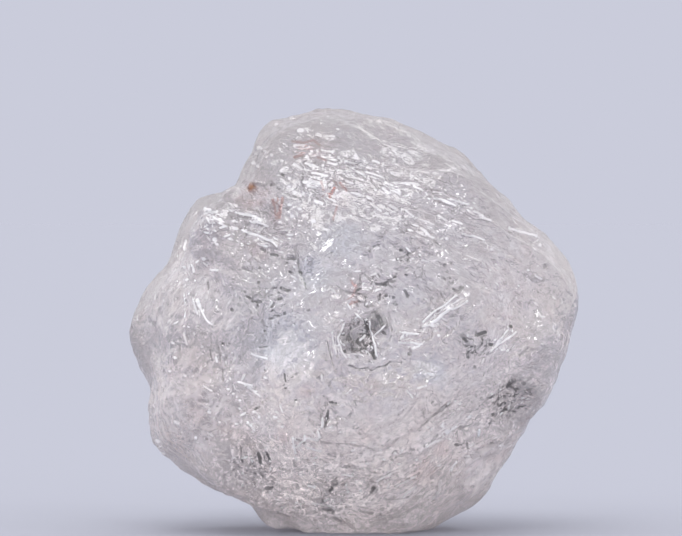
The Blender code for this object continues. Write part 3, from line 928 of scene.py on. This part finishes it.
@dataclass(frozen=True)
class FrostedCrystal:
    """Finish of the stone: clear crystal under an etched skin, with frosted white painted as glints, stains,
    dark pits that are partly painted shade, painted shade in its grooves and panes, and a painted bluish
    reflection in its windows.

    Attributes:
        clear: Colour of the crystal.
        warm: Colour where the skin is brownish.
        window_and_reflection: Colour of the painted bluish reflection in the clear windows.
        white: Colour of the painted glints, a frosted white that stands in for highlights.
        stain: Colour of the red stains.
        dark: Colour of the darkness: painted shade in the grooves, panes and pits, and the dark cracks and
            mottles.
        rust: Colour of the rust-coloured dot.
        transmission: Share of the light that passes into the crystal.
        ior: Refractive index.
        window_roughness: Roughness of the clear windows.
        skin_roughness: Roughness of the etched skin.
        softness: How much rougher the soft places are.
        body: Colour that the crystal lets through.
        density: How strongly the body absorbs, for each metre.
        relief: Height of the finest lines, in metres.
        grain_cells: Bumps of the finest grain in a millimetre.
        crack_cells: Cells between the fine cracks in a millimetre.
        mottle_cells: Mottles in a millimetre.
        rose_cells: Rosy patches in a millimetre.
        pit_share: Darkness of a dark fleck, and of all the painted shade.
        mottling: Darkness of the soft mottles.
        rosiness: Strength of the faint rosy patches.
        blueness: How fully the windows take the painted bluish reflection.
        paleness: How fully the painted glints take theirs.
        redness: Strength of the strokes of stain.
        glint_share: How much of the matte, frosted shader covers a bright fleck, as a painted glint.
        pit_depth: How much of the darkness, painted shade and dark pits alike, has no reflection.
        fleck_sizes: Cells in a millimetre, thinness and slenderness of each layer of flecks.
    """

    clear: tuple = colour(0.97, 0.94, 0.98)
    warm: tuple = colour(0.99, 0.90, 0.87)
    window_and_reflection: tuple = colour(0.88, 0.93, 1.00)
    white: tuple = colour(0.98, 0.99, 1.00)
    stain: tuple = colour(0.62, 0.24, 0.20)
    dark: tuple = colour(0.001, 0.001, 0.001)
    rust: tuple = colour(0.50, 0.13, 0.01)
    transmission: float = 1.0
    ior: float = 2.417
    window_roughness: float = 0.08
    skin_roughness: float = 0.14
    softness: float = 0.16
    body: tuple = colour(0.96, 0.92, 0.92)
    density: float = 40.0
    relief: float = 0.0000115
    grain_cells: float = 12.0
    crack_cells: float = 8.5
    mottle_cells: float = 8.0
    rose_cells: float = 3.0
    pit_share: float = 0.94
    mottling: float = 0.14
    rosiness: float = 0.09
    blueness: float = 0.8
    paleness: float = 0.8
    redness: float = 1.3
    glint_share: float = 0.68
    pit_depth: float = 0.30
    fleck_sizes: tuple[Triple, ...] = ((8.0, 6.0, 3.2), (11.5, 5.2, 1.9))

    def material(self) -> bpy.types.Material:
        """Makes the material.

        Returns:
            The finished material.
        """
        made = bpy.data.materials.new("frosted_crystal")
        made.use_nodes = True
        tree = Tree(made.node_tree)
        spot = tree.node("ShaderNodeUVMap", {"uv_map": "skin"}).outputs["UV"]
        lie = tree.arrow("lie")
        flecks = [tree.flecks(spot, *size, lie) for size in self.fleck_sizes]
        cracks = tree.cracks(spot, self.crack_cells)
        mottle = tree.noise(spot, self.mottle_cells, 1.0)
        relief = self.normal(tree, spot, flecks, cracks)
        glints = self.glints(tree, flecks)
        # Painted light: the glints paint highlights in white, and the darkness paints shade in the grooves,
        # panes and pits.
        darkness = self.darkness(tree, flecks, cracks, mottle) * (1.0 - glints)
        base = tree.mix(darkness, self.stained(tree, spot, glints), self.dark)
        clearer = tree.attribute("window_and_reflection") * (self.skin_roughness - self.window_roughness)
        roughness = self.skin_roughness + tree.attribute("soft") * self.softness - clearer
        crystal = tree.node(
            "ShaderNodeBsdfPrincipled",
            {"distribution": "MULTI_GGX"},
            {
                "Base Color": base,
                "Roughness": roughness,
                "IOR": self.ior,
                "Transmission Weight": self.transmission,
                "Normal": relief,
            },
        )
        frost_and_painted_light = tree.node(
            "ShaderNodeBsdfPrincipled",
            None,
            {"Base Color": base, "Roughness": 1.0, "Specular IOR Level": 0.0, "Normal": relief},
        )
        haze = tree.attribute("haze") * (0.7 + mottle.rising(0.35, 0.65) * 0.6)
        # The painted glints and the painted shade take the matte, frosted shader, which has no reflection of
        # its own; so does the haze.
        share = glints * self.glint_share + darkness * self.pit_depth + haze
        surface = tree.node(
            "ShaderNodeMixShader", None, {0: share, 1: crystal.outputs[0], 2: frost_and_painted_light.outputs[0]}
        )
        body = tree.node("ShaderNodeVolumeAbsorption", None, {"Color": self.body, "Density": self.density})
        out = tree.node("ShaderNodeOutputMaterial", None, {"Surface": surface.outputs[0]})
        tree.feed(out.inputs["Volume"], body.outputs[0])
        return made

    def stained(self, tree: Tree, spot: bpy.types.NodeSocket, glints: Value) -> bpy.types.NodeSocket:
        """Crystal colour with its stains and brownish skin, the painted bluish reflection in its windows and
        the white of its painted glints.

        Args:
            tree: The material's tree.
            spot: Place in millimetres.
            glints: 1 on the painted glints.

        Returns:
            The colour's socket.
        """
        base = tree.mix(tree.attribute("warmth"), self.clear, self.warm)
        # Painted reflection: the windows take a bluish colour that stands in for the surroundings.
        base = tree.mix(tree.attribute("window_and_reflection") * self.blueness, base, self.window_and_reflection)
        rosy = tree.noise(spot, self.rose_cells, 2.0).rising(0.48, 0.70) * self.rosiness
        rosy = rosy * (1.0 - tree.attribute("window_and_reflection"))
        base = tree.mix(rosy + tree.attribute("blush"), base, self.stain)
        # Painted highlights: the glints turn the colour to a frosted white.
        base = tree.mix(glints * self.paleness, base, self.white)
        base = tree.mix(tree.strokes(Mark.STAIN) * self.redness, base, self.stain)
        return tree.mix(tree.attribute("rust"), base, self.rust)

    def darkness(self, tree: Tree, flecks: list, cracks: Value, mottle: Value) -> Value:
        """How dark the surface is: painted shade in the panes and grooves, dark pits that are partly painted
        shade, fine cracks and soft mottles.

        Args:
            tree: The material's tree.
            flecks: The fine flecks, each with a number of its own.
            cracks: 1 on the fine cracks.
            mottle: Smooth noise, about 0.5.

        Returns:
            A number from 0 to 1.
        """
        pits = tree.attribute("pits")
        total = tree.attribute("shade") + cracks * tree.attribute("cracked")
        # Painted shade along the grooves.
        total = total + tree.strokes(Mark.GROOVE) * (0.5 + mottle.rising(0.36, 0.52) * 0.5)
        total = total + mottle.rising(0.50, 0.25) * tree.attribute("etch") * self.mottling
        # Dark pits: partly the crystal's dark specks, partly painted shade.
        for fleck, number in flecks:
            total = total + fleck * (pits - number).rising(0.0, 0.3)
        return tree.math("MINIMUM", total, 1.0) * self.pit_share

    def glints(self, tree: Tree, flecks: list) -> Value:
        """How frosted the surface is, as painted glints: a frosted white that stands in for highlights on the
        bright flecks and the ridges' crests.

        Args:
            tree: The material's tree.
            flecks: The fine flecks, each with a number of its own.

        Returns:
            A number from 0 to 1.
        """
        bright = tree.attribute("glints")
        # Painted highlights on the ridges' crests and on the bright flecks.
        total = tree.strokes(Mark.RIDGE)
        for fleck, number in flecks:
            total = total + fleck * (bright + number).rising(1.0, 1.2)
        return tree.math("MINIMUM", total, 1.0)

    def normal(
        self, tree: Tree, spot: bpy.types.NodeSocket, flecks: list, cracks: Value
    ) -> bpy.types.NodeSocket:
        """The finest grain, flecks and cracks of the etched skin.

        Args:
            tree: The material's tree.
            spot: Place in millimetres.
            flecks: The fine flecks, each with a number of its own.
            cracks: 1 on the fine cracks.

        Returns:
            The normal's socket.
        """
        height = tree.noise(spot, self.grain_cells, 0.0) * 0.8 - cracks * 0.9
        for (fleck, number), (scale, thin, _) in zip(flecks, self.fleck_sizes):
            height = height + fleck * (number - 0.4) * (70.0 / (scale * thin))
        height = height * tree.attribute("etch")
        bump = tree.node("ShaderNodeBump", None, {"Strength": 1.0, "Distance": self.relief, "Height": height})
        return bump.outputs[0]


@dataclass
class Stone:
    """The stone's skin: a fine copy of the solid, with its relief raised in the mesh.

    Attributes:
        node: The CAD node that it stands for.
        voxel: Size of the cells that the copy is rebuilt from.
        smoothing: How often the copy is smoothed, to take its facets off.
        triangles: The most triangles that the finished skin has.
        fine_height: Height of the fine bumps between the marks.
        fine_size: How wide the widest of them are.
        warp: How far the dashes stray from straight.
        bend: How far the strokes stray.
        stray: How far the rims of windows, stains and clusters stray.
        thin_haze: Haze of the plain skin.
        outer_haze: How much more there is round the outline.
        few_pits: Dark pits of the plain skin, partly painted shade.
        more_pits: How many more there are in the darkest cluster.
        few_glints: Painted glints of the plain skin.
        more_glints: How many more there are in the brightest cluster.
        pinkness: Strength of the faint pink places.
        dashes: The layers of short ridges and grooves.
        grain: The noise that moves and mixes the marks.
    """

    node: str = "rough_diamond"
    voxel: float = 0.018
    smoothing: int = 20
    triangles: int = 196000
    fine_height: float = 0.012
    fine_size: float = 0.22
    warp: float = 0.012
    bend: float = 0.022
    stray: float = 0.12
    thin_haze: float = 0.04
    outer_haze: float = 0.05
    few_pits: float = 0.06
    more_pits: float = 0.34
    few_glints: float = 0.11
    more_glints: float = 0.24
    pinkness: float = 0.30
    dashes: tuple[Dashes, ...] = (
        Dashes(0.170, 0.060, 0.030, 0.20, 11),
        Dashes(0.120, 0.048, 0.018, 0.30, 12),
    )
    grain: Grain = field(default_factory=lambda: Grain(SEED))

    def build(self) -> bpy.types.Object:
        """Builds the skin and puts it in the CAD node's place.

        Returns:
            The finished piece.
        """
        skin = self.copy_of_solid()
        self.rebuild_finer(skin)
        self.raise_relief(skin)
        self.thin_out(skin)
        self.mark(skin)
        skin.data.transform(Matrix.Scale(METRES_PER_MM, 4))
        skin.data.transform(Matrix.Translation((0.0, 0.0, MIDDLE_HEIGHT * METRES_PER_MM)))
        self.dress(skin)
        return skin

    def copy_of_solid(self) -> bpy.types.Object:
        """A merged copy of the solid in millimetres around its middle, alone in the selection."""
        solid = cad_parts[self.node]
        bpy.ops.object.select_all(action="DESELECT")
        skin = bpy.data.objects.new("rough_crystal", solid.data.copy())
        bpy.context.scene.collection.objects.link(skin)
        skin.data.materials.clear()
        skin.data.transform(Matrix.Translation((0.0, 0.0, -MIDDLE_HEIGHT * METRES_PER_MM)))
        skin.data.transform(Matrix.Scale(1.0 / METRES_PER_MM, 4))
        skin.select_set(True)
        bpy.context.view_layer.objects.active = skin
        bpy.ops.object.mode_set(mode="EDIT")
        bpy.ops.mesh.select_all(action="SELECT")
        bpy.ops.mesh.remove_doubles(threshold=0.0005)
        bpy.ops.object.mode_set(mode="OBJECT")
        return skin

    def rebuild_finer(self, skin: bpy.types.Object) -> None:
        """Rebuilds the copy from small cells, and smooths its facets away.

        Args:
            skin: The copy.
        """
        remesh = skin.modifiers.new("cells", "REMESH")
        remesh.mode = "VOXEL"
        remesh.voxel_size = self.voxel
        bpy.ops.object.modifier_apply(modifier=remesh.name)
        smooth = skin.modifiers.new("soften", "SMOOTH")
        smooth.factor = 0.5
        smooth.iterations = self.smoothing
        bpy.ops.object.modifier_apply(modifier=smooth.name)

    def read(self, skin: bpy.types.Object, reading: Reading) -> np.ndarray:
        """The places or the normals of the skin's points.

        Args:
            skin: The skin.
            reading: Which of them.

        Returns:
            One row of X, Y and Z for each point.
        """
        found = np.empty(len(skin.data.vertices) * 3)
        skin.data.vertices.foreach_get(reading.value, found)
        return found.reshape(-1, 3)

    def raise_relief(self, skin: bpy.types.Object) -> None:
        """Moves each point along its normal by the height of the relief there.

        Args:
            skin: The smooth copy.
        """
        points = self.read(skin, Reading.PLACE)
        raised = points + self.read(skin, Reading.NORMAL) * self.relief(points)[:, None]
        raised[:, Z] = np.maximum(raised[:, Z], -MIDDLE_HEIGHT)
        skin.data.vertices.foreach_set(Reading.PLACE.value, raised.ravel())
        skin.data.update()

    def front(self, points: np.ndarray) -> np.ndarray:
        """1 on the front of the stone, 0 on its back."""
        return rising(points[:, Y], 0.3, -0.3)

    def outer(self, points: np.ndarray) -> np.ndarray:
        """1 on the band round the stone's outline, 0 on its front and back."""
        return rising(way_out(points), 2.17, 2.87) * rising(np.abs(points[:, Y]), 1.28, 0.48)

    def calm(self, points: np.ndarray) -> np.ndarray:
        """1 in the calm places and round the outline, 0 elsewhere."""
        return np.maximum(self.outer(points), total_share(CALM, front_view(points), self.front(points)))

    def relief(self, points: np.ndarray) -> np.ndarray:
        """Height of the relief at each point.

        Args:
            points: The skin's points.

        Returns:
            The height of the ledges, bumps, dashes and strokes together.
        """
        directions = points / np.linalg.norm(points, axis=1, keepdims=True)
        weights = np.array([sector.weight(directions) for sector in SECTORS])
        total = np.maximum(weights.sum(axis=0), 0.35)
        waver = 0.05 * self.grain.layers(points, 0.5, 2)
        height = self.fine_height * self.grain.layers(points, self.fine_size, 3)
        for sector, weight in zip(SECTORS, weights / total):
            height += weight * self.ledge_height(points, sector, waver)
        windows = total_share(WINDOWS, front_view(points), self.front(points))
        height *= 1.0 - np.maximum(0.75 * windows, 0.35 * self.calm(points))
        height += sum(swelling.heights(points) for swelling in SWELLINGS)
        return height + self.line_heights(points, windows)

    def busy(self, points: np.ndarray) -> np.ndarray:
        """1 in the clusters of marks, 0 between them, and halfway on the back."""
        front = self.front(points)
        return total_share(CLUSTERS, front_view(points), front) + 0.5 * (1.0 - front)

    def line_heights(self, points: np.ndarray, windows: np.ndarray) -> np.ndarray:
        """Height of the dashes and strokes at each point.

        Args:
            points: The skin's points.
            windows: 1 in the clear windows, which have fewer dashes.

        Returns:
            The height at each point.
        """
        turns = ([Y, Z, X], [Z, X, Y], [X, Z, Y])
        warp = np.column_stack([self.grain.waves(points[:, turn], 0.16) for turn in turns])
        warped = points + self.warp * warp
        share = (0.60 + 0.40 * self.busy(points)) * (1.0 - 0.5 * self.calm(points))
        height = sum(dashes.heights(warped) for dashes in self.dashes)
        height = height * share * (1.0 - 0.7 * windows)
        front = self.front(points)
        near = front > 0.0
        seen = front_view(points[near])
        ridges, grooves = (
            sum(stroke.heights(seen) for stroke in STROKES[mark]) for mark in (Mark.RIDGE, Mark.GROOVE)
        )
        height[near] += (ridges - grooves) * front[near]
        return height

    def ledge_height(self, points: np.ndarray, sector: Sector, waver: np.ndarray) -> np.ndarray:
        """Growth ledges of one sector.

        Args:
            points: The skin's points.
            sector: The sector.
            waver: How far the layers stray at each point.

        Returns:
            The height at each point.
        """
        stack = unit(sector.stack)
        level = (points @ stack + waver) / sector.spacing
        within = level - np.floor(level)
        ledge = within - rising(within, 0.7, 1.0) - 0.35
        broken = smooth_step(1.5 * self.grain.waves(squeezed(points, stack, 3.0), 0.4) + 0.6)
        return sector.height * ledge * broken

    def thin_out(self, skin: bpy.types.Object) -> None:
        """Brings the skin down to its number of triangles.

        Args:
            skin: The skin with its relief.
        """
        count = sum(len(face.vertices) - 2 for face in skin.data.polygons)
        LOG.info("triangles before thinning: %d", count)
        if count > self.triangles:
            thin = skin.modifiers.new("thin", "DECIMATE")
            thin.ratio = self.triangles / count
            bpy.ops.object.modifier_apply(modifier=thin.name)
        bpy.ops.object.shade_smooth()

    def mark(self, skin: bpy.types.Object) -> None:
        """Keeps on the mesh's points where the windows, stains and marks are, for the material to read; among
        them are painted glints, painted shade and the windows' painted reflection.

        Args:
            skin: The thinned skin.
        """
        points = self.read(skin, Reading.PLACE)
        front, outer, calm = self.front(points), self.outer(points), self.calm(points)
        both = (points, points[:, [Z, X, Y]])
        wander = np.column_stack([self.grain.layers(place, 0.35, 2) for place in both])
        seen = front_view(points) + self.stray * wander
        windows = total_share(WINDOWS, seen, front)
        busy = self.busy(points) * (1.0 - windows)
        pits = (total_share(DARK_CLUSTERS, seen, front) + 0.3 * (1.0 - front)) * (1.0 - windows)
        rust = total_share(RUST_DOT, front_view(points), front)
        behind = points[:, Y] - points[rust > 0.5][:, Y].min()
        lowness = rising(points[:, Z] - 0.5 * wander[:, 0], 0.2, -2.4)
        blush = smooth_step(0.5 + 1.4 * self.grain.layers(points, 0.6, 4))
        kept = {
            # Clear windows, with a painted bluish reflection.
            "window_and_reflection": windows,
            # Painted shade: darker panes inside the hollow.
            "shade": total_share(SHADED_PANES, front_view(points) + 0.05 * wander, front),
            "blush": self.pinkness * total_share(BLUSHES, seen, front),
            "rust": rust * rising(behind, 0.24, 0.12),
            "haze": self.thin_haze + self.outer_haze * outer + total_share(MILKY, seen, front),
            "soft": total_share(SOFT, seen, np.ones_like(front)),
            "etch": (1.0 - 0.7 * windows) * (1.0 - 0.2 * outer) * (0.90 + 0.40 * busy),
            "cracked": np.clip(0.9 * pits - 0.1, 0.0, 1.0),
            # Dark pits: partly the crystal's dark specks, partly painted shade.
            "pits": (self.few_pits + self.more_pits * pits) * (1.0 - 0.3 * calm),
            # Painted glints: where a frosted white stands in for highlights.
            "glints": (self.few_glints + self.more_glints * (busy - 0.5 * pits)) * (1.0 - 0.2 * calm),
            "warmth": np.clip(0.20 + 0.45 * blush + 0.45 * lowness, 0.0, 1.0),
        }
        waver = np.column_stack([self.grain.waves(place, 0.13) for place in both])
        facing = rising(self.read(skin, Reading.NORMAL)[:, Y], 0.34375, -0.28125)
        for mark, strokes in STROKES.items():
            places, tones = nearest_stroke(strokes, front_view(points) + self.bend * waver)
            kept[mark.value] = places
            kept[mark.value + " tone"] = tones * front * facing
        for name, values in kept.items():
            self.keep(skin, name, values)
        self.keep_map(skin, points)

    def keep_map(self, skin: bpy.types.Object, points: np.ndarray) -> None:
        """Unfolds the skin onto the sides of a box, and stores the way that the finest flecks lie there.

        Args:
            skin: The thinned skin.
            points: Its points.
        """
        directions = points / np.linalg.norm(points, axis=1, keepdims=True)
        weights = [sector.weight(directions) for sector in SECTORS]
        total = np.maximum(sum(weights), 0.5)
        lie = np.zeros_like(points)
        for sector, weight in zip(SECTORS, weights):
            along = np.cross(directions, unit(sector.stack))
            along /= np.maximum(np.linalg.norm(along, axis=1, keepdims=True), 0.001)
            lie += (weight / total * sector.order)[:, None] * along
        mesh = skin.data
        corners = np.empty(len(mesh.loops), int)
        mesh.loops.foreach_get("vertex_index", corners)
        counts = np.empty(len(mesh.polygons), int)
        mesh.polygons.foreach_get("loop_total", counts)
        normals = np.empty(len(mesh.polygons) * 3)
        mesh.polygons.foreach_get("normal", normals)
        normals = normals.reshape(-1, 3)
        side = np.argmax(np.abs(normals), axis=1)
        facing = np.take_along_axis(normals, side[:, None], axis=1)[:, 0] > 0.0
        side, facing = np.repeat(side, counts), np.repeat(facing, counts)
        flat = np.array(((Y, Z), (X, Z), (X, Y)))[side]
        shift = 10.0 * (side + 3.0 * facing)[:, None]
        layer = mesh.uv_layers.new(name="skin")
        layer.uv.foreach_set("vector", (np.take_along_axis(points[corners], flat, axis=1) + shift).ravel())
        lies = np.column_stack((np.take_along_axis(lie[corners], flat, axis=1), np.zeros(len(corners))))
        self.keep(skin, "lie", lies, Domain.CORNERS)

    def keep(
        self, skin: bpy.types.Object, name: str, values: np.ndarray, domain: Domain = Domain.POINTS
    ) -> None:
        """Stores a number or a row of three on each of the mesh's points or corners.

        Args:
            skin: The skin.
            name: The name that they are kept under.
            values: The numbers or rows.
            domain: Whether the points or the corners keep them.
        """
        kind, key = ("FLOAT", "value") if values.ndim == 1 else ("FLOAT_VECTOR", "vector")
        attribute = skin.data.attributes.new(name, kind, domain.value)
        attribute.data.foreach_set(key, values.astype(np.float32).ravel())

    def dress(self, skin: bpy.types.Object) -> None:
        """Gives the skin its finish and its place in the frame.

        Args:
            skin: The finished mesh.
        """
        skin.data.materials.append(FrostedCrystal().material())
        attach(skin, "root")
        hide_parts(self.node)


@dataclass(frozen=True)
class Lamp:
    """A round soft light without an end.

    Attributes:
        name: Its name.
        elevation: Degrees above the horizon.
        azimuth: Degrees to the right of the viewer, or to the left when negative.
        width: How many degrees across it looks.
        glow: How bright it looks.
    """

    name: str
    elevation: float
    azimuth: float
    width: float
    glow: float

    def solid_angle(self) -> float:
        """How much of the sky it covers, in steradians."""
        return 2.0 * math.pi * (1.0 - math.cos(math.radians(self.width / 2.0)))

    def strength(self) -> float:
        """Light that falls on a surface that faces it."""
        return self.glow * self.solid_angle()

    def hang(self) -> None:
        """Adds the light to the scene."""
        lamp = bpy.data.lights.new(self.name, "SUN")
        lamp.energy = self.strength()
        lamp.angle = math.radians(self.width)
        obj = bpy.data.objects.new(self.name, lamp)
        bpy.context.scene.collection.objects.link(obj)
        up, across = math.radians(self.elevation), math.radians(self.azimuth)
        towards = Vector((math.sin(across) * math.cos(up), -math.cos(across) * math.cos(up), math.sin(up)))
        obj.rotation_euler = towards.to_track_quat("Z", "Y").to_euler()


def small_lamps() -> Iterator[Lamp]:
    """Small lamps on two rings, which make the sparkle."""
    for height, turns in ((12.0, (-45.0, 30.0)), (36.0, (-60.0, -15.0, 50.0))):
        for turn in turns:
            yield Lamp(f"small {turn:.0f}", height, turn, 8.0, 7.0)


@dataclass
class Studio:
    """Floor, soft light and camera.

    Attributes:
        backdrop: Colour that the camera sees behind the stone.
        top: Light from straight above.
        level: Light from the sides.
        viewer: Light from the viewer's side.
        behind: Light from straight behind the stone.
        high: How far up a direction points where the level light begins to turn to the top's and where it is.
        near: How far a direction points to the viewer where the viewer's light begins and where it is full.
        far: How far a direction points away where the light from behind begins and where it is full.
        lamps: The soft lights.
        floor_size: Side of the floor.
        aim: What the camera looks at.
        distance: How far away the camera is.
        elevation: How many degrees it looks down.
        lens: Its focal length, for a sensor 36 wide.
    """

    backdrop: tuple = colour(0.591, 0.604, 0.708)
    top: tuple = colour(1.06, 1.06, 1.11)
    level: tuple = colour(1.18, 1.16, 1.20)
    viewer: tuple = colour(1.13, 1.11, 1.14)
    behind: tuple = colour(0.72, 0.71, 0.76)
    high: Pair = (0.15, 0.85)
    near: Pair = (0.55, 0.95)
    far: Pair = (0.80, 0.97)
    lamps: tuple[Lamp, ...] = (
        Lamp("key", 66.0, -6.0, 36.0, 2.0),
        Lamp("rim", 46.0, 155.0, 24.0, 1.4),
        *small_lamps(),
    )
    floor_size: float = 900.0
    aim: Triple = (-0.199, 0.0, 3.724)
    distance: float = 80.0
    elevation: float = 1.0
    lens: float = 297.7

    def build(self) -> None:
        """Builds the whole studio."""
        self.lay_floor()
        self.hang_sky()
        for lamp in self.lamps:
            lamp.hang()
        self.place_camera()
        view = bpy.context.scene.view_settings
        view.view_transform = "Standard"
        view.look = "None"
        cycles = bpy.context.scene.cycles
        for kind, count in (("max", 16), ("transmission", 16), ("glossy", 8), ("diffuse", 4)):
            setattr(cycles, kind + "_bounces", count)
        cycles.use_light_tree = False
        cycles.use_denoising = True
        cycles.denoiser = "OPENIMAGEDENOISE"
        cycles.sample_clamp_indirect = 6.0

    def sky_light(self, direction: np.ndarray) -> np.ndarray:
        """The sky's light from each direction, as the sky's own nodes work it out.

        Args:
            direction: Directions of length 1, one row each.

        Returns:
            A colour for each direction.
        """
        top, level, viewer = (np.array(shade[:3]) for shade in (self.top, self.level, self.viewer))
        high = rising(direction[:, Z], *self.high)[:, None]
        near = rising(-direction[:, Y], *self.near)[:, None]
        far = rising(direction[:, Y], *self.far)[:, None]
        light = level + (top - level) * high
        light = light + (viewer - light) * near
        return light + (np.array(self.behind[:3]) - light) * far

    def floor_colour(self) -> tuple[float, float, float, float]:
        """Colour with which the floor looks as bright as the backdrop.

        Returns:
            The colour, worked out from all the light that falls on the floor.
        """
        draw = np.random.default_rng(SEED)
        height, turn = np.sqrt(draw.random(SKY_DRAWS)), 2.0 * math.pi * draw.random(SKY_DRAWS)
        flat = np.sqrt(1.0 - height**2)
        directions = np.column_stack((flat * np.cos(turn), flat * np.sin(turn), height))
        light = self.sky_light(directions).mean(axis=0)
        for lamp in self.lamps:
            light += lamp.strength() * math.sin(math.radians(lamp.elevation)) / math.pi
        return colour(*(np.array(self.backdrop[:3]) / light))

    def lay_floor(self) -> None:
        """A plain pale floor."""
        bpy.ops.object.select_all(action="DESELECT")
        side = self.floor_size * METRES_PER_MM
        bpy.ops.mesh.primitive_plane_add(size=side, location=(0.0, 0.0, 0.0))
        floor = bpy.context.active_object
        floor.name = "floor"
        made = bpy.data.materials.new("pale_floor")
        made.use_nodes = True
        tree = Tree(made.node_tree)
        paint = tree.node("ShaderNodeBsdfDiffuse", None, {"Color": self.floor_colour()})
        tree.node("ShaderNodeOutputMaterial", None, {"Surface": paint.outputs[0]})
        floor.data.materials.append(made)
        LOG.info("floor colour %s", [round(share, 3) for share in self.floor_colour()])

    def hang_sky(self) -> None:
        """Even backdrop for the camera, and a soft sky for everything that the stone bends or mirrors."""
        world = bpy.data.worlds.new("studio")
        bpy.context.scene.world = world
        world.use_nodes = True
        tree = Tree(world.node_tree)
        towards = tree.node("ShaderNodeTexCoord").outputs["Generated"]
        parts = tree.node("ShaderNodeSeparateXYZ", None, {0: towards})
        high = Value(tree, parts.outputs["Z"]).rising(*self.high)
        near = (Value(tree, parts.outputs["Y"]) * -1.0).rising(*self.near)
        far = Value(tree, parts.outputs["Y"]).rising(*self.far)
        light = tree.mix(high, self.level, self.top)
        light = tree.mix(near, light, self.viewer)
        light = tree.mix(far, light, self.behind)
        seen = tree.node("ShaderNodeLightPath").outputs["Is Camera Ray"]
        shown = tree.mix(seen, light, self.backdrop)
        glow = tree.node("ShaderNodeBackground", None, {"Color": shown})
        tree.node("ShaderNodeOutputWorld", None, {"Surface": glow.outputs[0]})

    def place_camera(self) -> None:
        """The camera, at the height and angle of the photograph."""
        lens = bpy.data.cameras.new("camera")
        lens.lens = self.lens
        lens.sensor_width = 36.0
        lens.clip_start = 0.001
        lens.clip_end = 10.0
        camera = bpy.data.objects.new("camera", lens)
        bpy.context.scene.collection.objects.link(camera)
        down = math.radians(self.elevation)
        back = Vector((0.0, -math.cos(down), math.sin(down)))
        camera.location = (Vector(self.aim) + back * self.distance) * METRES_PER_MM
        camera.rotation_euler = back.to_track_quat("Z", "Y").to_euler()
        bpy.context.scene.camera = camera


def main() -> None:
    """Builds the stone and the studio."""
    logging.basicConfig(level=logging.INFO, format="%(name)s: %(message)s")
    skin = Stone().build()
    LOG.info("%s: %d faces", skin.name, len(skin.data.polygons))
    Studio().build()
    LOG.info("studio is set")


if __name__ == "__main__":
    main()
